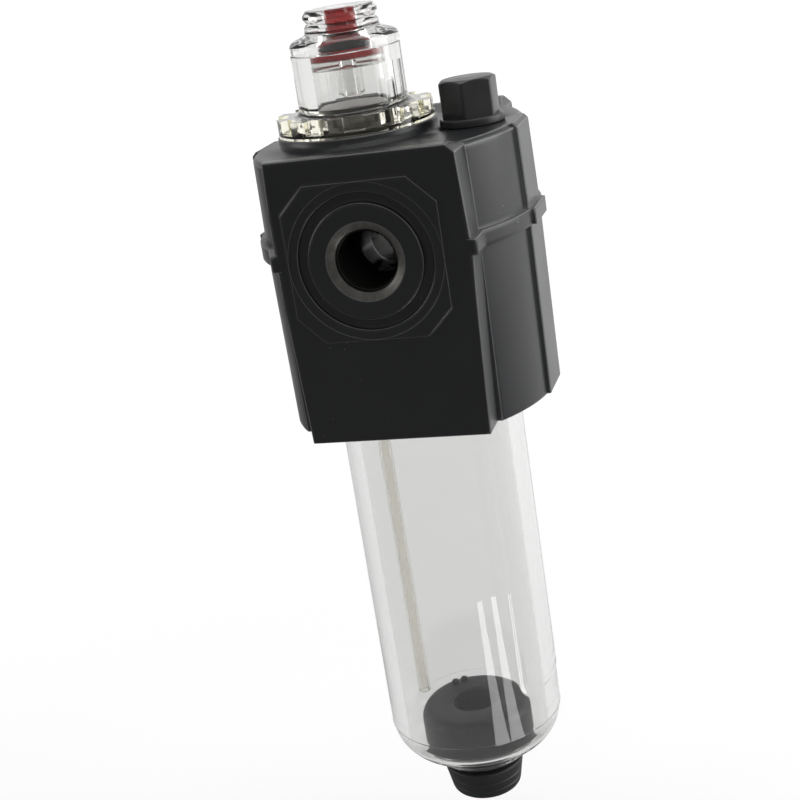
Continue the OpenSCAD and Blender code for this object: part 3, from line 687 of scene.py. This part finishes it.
bowl_outline = filleted(
    [(bowl_in_r, bowl_high.z, lip_round), (lip_r, bowl_high.z, lip_round), (lip_r, wall_top, lip_root),
     (bowl_r, wall_top, neck_round)]
    + [(bowl_r, z, 0) for z in wall_rows]
    + [(bowl_r, step_z, step_round), (low_r, step_z - step_h, step_round)] + bend
    + [(boss_r, bowl_low.z, boss_round), (drain_hole_r, bowl_low.z, hole_round),
       (drain_hole_r, bowl_floor, hole_round), (bowl_in_r, bowl_floor, floor_round)])
bowl_mesh = bmesh.new()
bowl_grid = []
for r, z in bowl_outline:
    row = []
    for angle in bowl_columns:
        on_wall = abs(r - bowl_r) < weld
        here = r + pad_height(angle, z) - thread_cut(angle, z) if on_wall else r
        row.append(bowl_mesh.verts.new((here * math.cos(angle), mid_y + here * math.sin(angle), z)))
    bowl_grid.append(row)
for low_row, high_row in zip(bowl_grid, bowl_grid[1:] + bowl_grid[:1]):
    for i in range(len(bowl_columns)):
        bowl_mesh.faces.new((low_row[i - 1], low_row[i], high_row[i], high_row[i - 1]))
bmesh.ops.recalc_face_normals(bowl_mesh, faces=bowl_mesh.faces)
bowl_finish = clear_plastic("clear_bowl", (0.81, 0.812, 0.805), (0.8, 0.79, 0.78), bowl_floor, 4 * mm, 0.03)
bowl = add_piece("bowl_shell", bowl_mesh, [bowl_finish], edge_angle)
flattened(bowl)
fitted(bowl, "bowl", "bowl_clear", "bowl")

# Drain
# One moulded piece of dark rubber: a round head on the bowl's floor, a stem through it and a push button
# below. Pressing the button lifts the head off the floor and lets the water out.
drain_low, drain_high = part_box("drain_plug")
nub_h = 0.7 * mm
drain_top = drain_high.z - nub_h
head_r = (drain_high.x - drain_low.x) / 2
head_gap = 0.03 * mm
head_foot = bowl_floor + head_gap
head_round = 1.6 * mm
head_foot_round = 0.5 * mm
head_root = 0.1 * mm
recess_r = 3.5 * mm
recess_depth = 4 * mm
recess_lip = 0.4 * mm
recess_root = 0.3 * mm
stem_r = 4.8 * mm
stem_root = 0.15 * mm
button_r = 6.3 * mm
button_foot_r = 5.3 * mm
button_top = drain_low.z + 5 * mm
button_round = 0.35 * mm
button_foot_round = 1.2 * mm
groove_depth = 0.14 * mm
groove_half = 0.16 * mm
groove_lip = 0.04 * mm
groove_root = 0.05 * mm
groove_places = (0.34, 0.62)
nub_r = 0.6 * mm
nub_round = 0.3 * mm
nub_at = head_r - 2.2 * mm
nub_turns = (math.radians(118), math.radians(132))
drain_columns = 128
nub_columns = 24


def take_in(whole, part):
    """Adds the part's faces to the whole mesh, and drops the part."""
    data = bpy.data.meshes.new("taken_in")
    part.to_mesh(data)
    part.free()
    whole.from_mesh(data)


def button_side(z):
    """Radius of the tapered button at height z."""
    return button_foot_r + (button_r - button_foot_r) * (z - drain_low.z) / (button_top - drain_low.z)


grooves = []
for share in groove_places:
    z = drain_low.z + share * (button_top - drain_low.z)
    grooves += [
        (button_side(z - groove_half), z - groove_half, groove_lip),
        (button_side(z) - groove_depth, z, groove_root),
        (button_side(z + groove_half), z + groove_half, groove_lip)]
drain_outline = filleted(
    [(0, drain_low.z, 0), (button_foot_r, drain_low.z, button_foot_round)] + grooves
    + [(button_r, button_top, button_round), (stem_r, button_top, stem_root), (stem_r, head_foot, head_root),
       (head_r, head_foot, head_foot_round), (head_r, drain_top, head_round),
       (recess_r, drain_top, recess_lip), (recess_r, drain_top - recess_depth, recess_root),
       (0, drain_top - recess_depth, 0)])
drain_mesh = turned(drain_outline, (0, mid_y), drain_columns)
for angle in nub_turns:
    nub_outline = filleted([
        (0, drain_top - nub_h, 0), (nub_r, drain_top - nub_h, 0), (nub_r, drain_top + nub_h, nub_round),
        (0, drain_top + nub_h, 0)])
    nub_place = (nub_at * math.cos(angle), mid_y + nub_at * math.sin(angle))
    take_in(drain_mesh, turned(nub_outline, nub_place, nub_columns))
drain_rubber = rubber("drain_rubber", (0.02, 0.02, 0.021), (0.03, 0.03, 0.031), 0.5)
drain = add_piece("drain_button", drain_mesh, [drain_rubber], edge_angle)
fitted(drain, "drain", "drain_rubber", "drain_plug")

# Sight dome
# Clear moulded plastic, screwed into the casting by its spigot with a tool that takes the notches of its
# flange. Oil comes up a fine riser in its wall, and a ridged neck on top takes the adjuster's stem.
dome_low, dome_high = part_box("sight_dome")
dome_foot = dome_low.z
flange_r = (dome_high.x - dome_low.x) / 2
seat_depth = 3.1 * mm
seat_gap = 0.03 * mm
flange_foot = body_high.z - seat_depth + seat_gap
flange_root = 1 * mm
flange_top = 17.6 * mm
notch_count = 12
notch_half_w = 1.45 * mm
notch_r = flange_r - 1.7 * mm
notch_floor = flange_foot + 0.67 * mm
dome_r = 7.75 * mm
chamber_r = 5.45 * mm
spigot_r = 8.2 * mm
spigot_round = 0.3 * mm
shoulder_z = 27.4 * mm
shoulder_round = 1.2 * mm
neck_foot = 28.8 * mm
neck_r = 5.25 * mm
neck_drop = 0.45 * mm
neck_root = 0.3 * mm
neck_valley = 0.45 * mm
ridge_pitch = 1.588 * mm
ridge_count = 2
ridge_land = 0.25
valley_start = 0.6
ridge_round = 0.1 * mm
chamber_roof = 25.65 * mm
seal_roof = 27.35 * mm
seal_pocket_r = 3.79 * mm
stem_hole_r = 2.28 * mm
mouth_slope = 0.5 * mm
mouth_round = 0.1 * mm
inner_round = 0.2 * mm
riser_r = 0.45 * mm
riser_foot = dome_foot + 0.4 * mm
riser_columns = 24
riser_at = (chamber_r + dome_r) / 2
riser_top = 23.44 * mm
dome_columns = 8
dome_edge = 0.12 * mm

dome_side = filleted(
    [(notch_r, flange_top, 0), (dome_r, flange_top, flange_root), (dome_r, shoulder_z, shoulder_round)]
    + [(neck_r, neck_foot - neck_drop, neck_root)]
    + [corner for i in range(ridge_count) for corner in (
        (neck_r, neck_foot + i * ridge_pitch, ridge_round),
        (neck_r, neck_foot + (i + ridge_land) * ridge_pitch, ridge_round),
        (neck_r - neck_valley, neck_foot + (i + valley_start) * ridge_pitch, ridge_round))]
    + [(neck_r - neck_valley, dome_high.z, inner_round),
       (stem_hole_r + mouth_slope, dome_high.z, mouth_round),
       (stem_hole_r, dome_high.z - mouth_slope, 0), (stem_hole_r, seal_roof, 0),
       (seal_pocket_r, seal_roof, inner_round), (seal_pocket_r, chamber_roof, 0),
       (chamber_r, chamber_roof, inner_round), (chamber_r, dome_foot, inner_round),
       (spigot_r, dome_foot, spigot_round), (spigot_r, flange_foot, 0), (flange_r, flange_foot, 0)])
dome_mesh = bmesh.new()


def dome_point(r, angle, z):
    """A new corner of the dome at that radius, angle and height."""
    return dome_mesh.verts.new((dome_x + r * math.cos(angle), mid_y + r * math.sin(angle), z))


def dome_column(rim_angle, wall_angle, tooth, notch):
    """One column of the dome: its rim, its corner on a tooth or in a notch, and the rest of its outline."""
    return {
        "rim": dome_point(flange_r, rim_angle, notch_floor),
        "tooth": dome_point(flange_r, rim_angle, flange_top) if tooth else None,
        "notch": dome_point(notch_r, wall_angle, notch_floor) if notch else None,
        "side": [dome_point(r, wall_angle if r < flange_r - weld else rim_angle, z) for r, z in dome_side]}


rim_half = math.asin(notch_half_w / flange_r)
wall_half = math.asin(notch_half_w / notch_r)
between_notches = math.tau / notch_count
columns = []
for i in range(notch_count):
    centre = (i + 0.5) * between_notches
    columns.append((dome_column(centre - rim_half, centre - wall_half, True, True), "notch"))
    columns.append((dome_column(centre, centre, False, True), "notch"))
    columns.append((dome_column(centre + rim_half, centre + wall_half, True, True), "tooth"))
    for step in range(1, dome_columns):
        share = step / dome_columns
        rim_angle = centre + rim_half + share * (between_notches - 2 * rim_half)
        wall_angle = centre + wall_half + share * (between_notches - 2 * wall_half)
        columns.append((dome_column(rim_angle, wall_angle, True, False), "tooth"))
for (here, kind), (there, _) in zip(columns, columns[1:] + columns[:1]):
    dome_mesh.faces.new((here["side"][-1], there["side"][-1], there["rim"], here["rim"]))
    dome_mesh.faces.new((here["rim"], there["rim"], there[kind], here[kind]))
    dome_mesh.faces.new((here[kind], there[kind], there["side"][0], here["side"][0]))
    for low, high in zip(range(len(dome_side) - 1), range(1, len(dome_side))):
        dome_mesh.faces.new((here["side"][low], there["side"][low], there["side"][high], here["side"][high]))
for here, _ in columns:
    if here["tooth"] and here["notch"]:
        dome_mesh.faces.new((here["rim"], here["tooth"], here["side"][0], here["notch"]))
bmesh.ops.recalc_face_normals(dome_mesh, faces=dome_mesh.faces)
riser_outline = [(0, riser_foot), (riser_r, riser_foot), (riser_r, riser_top), (0, riser_top)]
riser = turned(riser_outline, (dome_x + riser_at, mid_y), riser_columns)
bmesh.ops.reverse_faces(riser, faces=riser.faces)
take_in(dome_mesh, riser)
dome_finish = clear_plastic("clear_dome", (0.8, 0.802, 0.79), (0.93, 0.91, 0.79), flange_top, 0.4 * mm, 0.06)
dome = add_piece("sight_dome_shell", dome_mesh, [dome_finish])
edge_rounding(dome, dome_edge, "ANGLE")
flattened(dome)
fitted(dome, "housing", "dome_clear", "sight_dome")

# Drip nozzle
# A clear moulded plate, pressed into the dome under the adjuster's disc, with the tube that the drops fall
# from. They fall on the dished floor below.
nozzle_low, nozzle_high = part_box("drip_nozzle")
nozzle_r = (nozzle_high.x - nozzle_low.x) / 2
plate_t = 1.3 * mm
drip_tube_r = 1.85 * mm
drip_bore_r = 0.8 * mm
bore_lip = 0.1 * mm
drip_tip = 0.3 * mm
drip_root = 0.4 * mm
plate_round = 0.15 * mm
nozzle_columns = 72
plate_foot = nozzle_high.z - plate_t
nozzle_outline = filleted([
    (drip_bore_r, nozzle_low.z, bore_lip), (drip_tube_r, nozzle_low.z, drip_tip),
    (drip_tube_r, plate_foot, drip_root), (nozzle_r, plate_foot, plate_round),
    (nozzle_r, nozzle_high.z, plate_round), (drip_bore_r, nozzle_high.z, bore_lip)])
nozzle_mesh = turned(nozzle_outline, (dome_x, mid_y), nozzle_columns)
nozzle = add_piece("drip_nozzle_clear", nozzle_mesh, [dome_finish])
flattened(nozzle)
fitted(nozzle, "housing", "dome_clear", "drip_nozzle")

# Drip adjuster
# A red moulded screw that sets the drip rate: a metering disc above the nozzle, and a stem with a
# screwdriver slot that comes up through the neck.
adjuster_edge = 0.07 * mm


def red_plastic():
    """Red moulded plastic, slightly uneven, that lets some light through."""
    made, tree, shader, place = new_finish("red_plastic")
    cloud = noise(tree, place, 2.5 * mm)
    tree.links.new(tinted(tree, cloud, (0.8, 0.015, 0.02), (0.9, 0.022, 0.026)), shader.inputs["Base Color"])
    tree.links.new(between(tree, cloud, 0.3, 0.4), shader.inputs["Roughness"])
    shader.inputs["Specular IOR Level"].default_value = 0.2
    shader.inputs["Transmission Weight"].default_value = 0.75
    shader.inputs["IOR"].default_value = 1.3
    roughened(tree, shader, noise(tree, place, 0.2 * mm, 2.0), 0.004 * mm, 0.5)
    return made


adjuster_mesh = bmesh.new()
adjuster_mesh.from_mesh(nodes["adjusting_screw"].data)
bmesh.ops.remove_doubles(adjuster_mesh, verts=adjuster_mesh.verts, dist=weld)
bmesh.ops.dissolve_limit(
    adjuster_mesh, angle_limit=coplanar, verts=adjuster_mesh.verts, edges=adjuster_mesh.edges)
adjuster = add_piece("adjuster_red", adjuster_mesh, [red_plastic()])
edge_rounding(adjuster, adjuster_edge, "ANGLE")
flattened(adjuster)
fitted(adjuster, "adjuster", "adjuster_red", "adjusting_screw")

# Fill plug
# A black moulded hexagon with a round bevel on top, a round flange and a screw thread. It closes the hole
# that oil is poured into.
plug_low, plug_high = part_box("fill_plug")
plug_half_flats = 3.65 * mm
plug_flange_r = (plug_high.x - plug_low.x) / 2
plug_flange_foot = 13.53 * mm
plug_hex_foot = plug_flange_foot + 1.1 * mm
plug_flange_foot_round = 0.15 * mm
plug_flange_round = 0.3 * mm
plug_tip_round = 0.4 * mm
plug_bevel_r = plug_half_flats - 0.12 * mm
plug_bevel_slope = math.tan(math.radians(30))
plug_corner_in = 0.1 * mm
bevel_edge_h = 0.12 * mm
bevel_edge_in = 0.05 * mm
top_edge_h = 0.02 * mm
top_edge_in = 0.1 * mm
plug_root_r = 2.75 * mm
plug_pitch = 1 * mm
plug_tooth = 0.28 * mm
plug_run_out = 2.4
plug_columns = 180
plug_crease = math.radians(20)


def plug_plastic():
    """Black moulded plastic with a fine grain."""
    made, tree, shader, place = new_finish("plug_plastic")
    cloud = noise(tree, place, 4 * mm)
    black = tinted(tree, cloud, (0.036, 0.036, 0.037), (0.05, 0.05, 0.051))
    tree.links.new(black, shader.inputs["Base Color"])
    tree.links.new(between(tree, cloud, 0.28, 0.4), shader.inputs["Roughness"])
    shader.inputs["Specular IOR Level"].default_value = 0.35
    roughened(tree, shader, noise(tree, place, 0.15 * mm, 2.0), 0.005 * mm, 0.5)
    return made


def hexagon_r(angle):
    """Radius of the hexagon at that angle, with its corners slightly rounded."""
    from_flat = math.remainder(angle, math.tau / 6)
    sharp = plug_half_flats / math.cos(from_flat)
    corner = plug_half_flats / math.cos(math.pi / 6) - plug_corner_in
    return min(sharp, corner)


plug_mesh = bmesh.new()
plug_rows = []
flange_rows = filleted([
    (plug_root_r, plug_low.z, plug_tip_round), (plug_root_r, plug_flange_foot, 0),
    (plug_flange_r, plug_flange_foot, plug_flange_foot_round),
    (plug_flange_r, plug_hex_foot, plug_flange_round), (plug_half_flats, plug_hex_foot, 0)])[:-1]
for i in range(plug_columns):
    angle = math.tau * i / plug_columns
    outer = hexagon_r(angle)
    shoulder = plug_high.z - (outer - plug_bevel_r) * plug_bevel_slope
    outline = [(r, z) for r, z in flange_rows] + [
        (outer, plug_hex_foot), (outer, shoulder - bevel_edge_h), (outer - bevel_edge_in, shoulder),
        (plug_bevel_r, plug_high.z - top_edge_h), (plug_bevel_r - top_edge_in, plug_high.z)]
    plug_rows.append([
        plug_mesh.verts.new((plug_x + r * math.cos(angle), mid_y + r * math.sin(angle), z))
        for r, z in outline])
plug_foot_point = plug_mesh.verts.new((plug_x, mid_y, plug_low.z))
plug_top_point = plug_mesh.verts.new((plug_x, mid_y, plug_high.z))
for here, there in zip(plug_rows, plug_rows[1:] + plug_rows[:1]):
    for low in range(len(here) - 1):
        plug_mesh.faces.new((here[low], there[low], there[low + 1], here[low + 1]))
    plug_mesh.faces.new((plug_foot_point, there[0], here[0]))
    plug_mesh.faces.new((plug_top_point, here[-1], there[-1]))
bmesh.ops.recalc_face_normals(plug_mesh, faces=plug_mesh.faces)
plug_finish = plug_plastic()
plug = add_piece("fill_plug_hexagon", plug_mesh, [plug_finish], plug_crease)
fitted(plug, "plug", "plug_black", "fill_plug")
plug_turns = (plug_flange_foot - plug_low.z) / plug_pitch - plug_run_out
plug_thread = add_thread(
    "fill_plug_thread", plug_root_r, plug_pitch, plug_turns, plug_tooth, (0, 0, 0),
    (plug_x, mid_y, plug_low.z + plug_pitch / 2), plug_finish)
fitted(plug_thread, "plug", "plug_black")

# Studio
# A white surround, and a white floor that leaves room for the bowl to come down. One large soft lamp stands
# on the side of the fill plug, one above and a weaker one on the other side, so that the face between them
# stays dark.
object_foot = cad_box[0][2]
bowl_travel = 9 * mm
floor_z = object_foot - bowl_travel
floor_half = 6.0
bright_side = Vector((0.35, 0.94, 0))
front_glow = 0.05
back_start, back_full = 0.25, 0.8
ceiling_glow = 0.1
ceiling_start, ceiling_full = 0.2, 0.9
surround_fill = 0.3
near_glow, far_glow = 0.74, 0.96
glow_start, glow_full = 0.15, 0.8
strip_turns = (math.radians(-51), math.radians(-33))
strip_away = 60 * mm
strip_lift = 1 * mm
strip_w = 10 * mm
strip_long = 60 * mm
strip_power = 0.009
floor_mesh = bmesh.new()
bmesh.ops.create_grid(floor_mesh, x_segments=1, y_segments=1, size=floor_half)
bmesh.ops.translate(floor_mesh, verts=floor_mesh.verts, vec=(0, 0, floor_z - 0.05 * mm))


def worked_out(tree, operation, first, second):
    """What that operation gives for two numbers."""
    node = tree.nodes.new("ShaderNodeMath")
    node.operation = operation
    tree.links.new(first, node.inputs[0])
    tree.links.new(second, node.inputs[1])
    return node.outputs["Value"]


def seen(tree, way):
    """How bright the surround looks: white to the camera, dimmer overhead in gloss and through clear pieces,
    and dimmer at the front in gloss."""
    unit = tree.nodes.new("ShaderNodeVectorMath")
    unit.operation = "NORMALIZE"
    tree.links.new(way, unit.inputs[0])
    height = tree.nodes.new("ShaderNodeSeparateXYZ")
    tree.links.new(unit.outputs["Vector"], height.inputs["Vector"])
    backward = tree.nodes.new("ShaderNodeVectorMath")
    backward.operation = "DOT_PRODUCT"
    backward.inputs[1].default_value = bright_side
    tree.links.new(unit.outputs["Vector"], backward.inputs[0])
    back = between(tree, backward.outputs["Value"], front_glow, 1.0, back_start, back_full)
    low = between(tree, height.outputs["Z"], 1.0, ceiling_glow, ceiling_start, ceiling_full)
    path = tree.nodes.new("ShaderNodeLightPath").outputs
    mirrored = worked_out(tree, "MULTIPLY", path["Is Glossy Ray"], back)
    bent = worked_out(tree, "MAXIMUM", path["Is Transmission Ray"], mirrored)
    looked_at = worked_out(tree, "MAXIMUM", path["Is Camera Ray"], worked_out(tree, "MULTIPLY", bent, low))
    return worked_out(tree, "MULTIPLY", looked_at, between(tree, path["Diffuse Depth"], 1.0, 0.0, 0.0, 1.0))


def white_floor():
    """Matt white that glows a little where it is seen, and still takes a shadow."""
    made, tree, shader, place = new_finish("white_floor")
    shader.inputs["Base Color"].default_value = (0.3, 0.3, 0.3, 1)
    shader.inputs["Roughness"].default_value = 0.9
    shader.inputs["Specular IOR Level"].default_value = 0.0
    shader.inputs["Emission Color"].default_value = (1, 1, 1, 1)
    away = tree.nodes.new("ShaderNodeVectorMath")
    away.operation = "LENGTH"
    tree.links.new(place, away.inputs[0])
    fill = between(tree, away.outputs["Value"], near_glow, far_glow, glow_start, glow_full)
    tree.links.new(worked_out(tree, "MULTIPLY", seen(tree, place), fill), shader.inputs["Emission Strength"])
    return made


floor = add_piece("floor", floor_mesh, [white_floor()])

world = bpy.data.worlds.new("surround")
bpy.context.scene.world = world
world.use_nodes = True
sky = world.node_tree
surround = sky.nodes["Background"]
surround.inputs["Color"].default_value = (1, 1, 1, 1)
sky_way = sky.nodes.new("ShaderNodeTexCoord").outputs["Generated"]
sky.links.new(between(sky, seen(sky, sky_way), surround_fill, 1.0, 0.0, 1.0), surround.inputs["Strength"])


def add_lamp(name, place, aim, size, power):
    """A square soft lamp at place that looks at aim, and the lamp's object."""
    data = bpy.data.lights.new(name, "AREA")
    data.size = size
    data.energy = power
    made = bpy.data.objects.new(name, data)
    made.location = place
    made.rotation_euler = (Vector(aim) - Vector(place)).to_track_quat("-Z", "Y").to_euler()
    bpy.context.scene.collection.objects.link(made)
    return made


waist = (0, mid_y, -0.02)
for name, place, size, power in (
        ("side_lamp", (0.55, 0.12, 0.16), 0.5, 2.5),
        ("top_lamp", (0.02, 0.12, 0.62), 0.5, 1.75),
        ("left_lamp", (-0.6, -0.1, 0.2), 0.35, 0.8)):
    add_lamp(name, place, waist, size, power)
for strip_turn in strip_turns:
    strip_way = Vector((math.cos(strip_turn), math.sin(strip_turn), 0))
    strip_place = Vector((0, mid_y, object_foot + strip_lift)) + strip_way * strip_away
    strip = add_lamp("strip_lamp", strip_place, strip_place + Vector((0, 0, 1)), strip_w, strip_power)
    strip.data.shape = "RECTANGLE"
    strip.data.size_y = strip_long
    strip.rotation_euler = (math.pi, 0, strip_turn + math.pi / 2)
    strip.visible_camera = False
    strip.visible_diffuse = False
    strip.visible_transmission = False

# Camera
# It looks down on the inlet port from the side of the fill plug. The lens, the distance and the roll were
# fitted to the casting, the dome and the bowl.
view_turn = math.radians(17.39)
view_tilt = math.radians(17.82)
view_roll = math.radians(-9.05)
view_distance = 209.97 * mm
view_target = Vector((1.75, 0, -19.34)) * mm
image_width = 800
lens_in_pixels = 1560.12
level_back = Vector((math.sin(view_turn), -math.cos(view_turn), 0))
back = level_back * math.cos(view_tilt) + Vector((0, 0, math.sin(view_tilt)))
across = Vector((0, 0, 1)).cross(back).normalized()
upward = back.cross(across)
image_x = math.cos(view_roll) * across + math.sin(view_roll) * upward
image_y = math.cos(view_roll) * upward - math.sin(view_roll) * across
camera_data = bpy.data.cameras.new("camera")
camera_data.sensor_width = 36
camera_data.lens = lens_in_pixels / image_width * camera_data.sensor_width
camera_data.clip_start = 0.01
camera = bpy.data.objects.new("camera", camera_data)
turn = Matrix((image_x, image_y, back)).transposed()
camera.matrix_world = Matrix.Translation(view_target + back * view_distance) @ turn.to_4x4()
bpy.context.scene.collection.objects.link(camera)
bpy.context.scene.camera = camera
bpy.context.scene.view_settings.view_transform = "Standard"
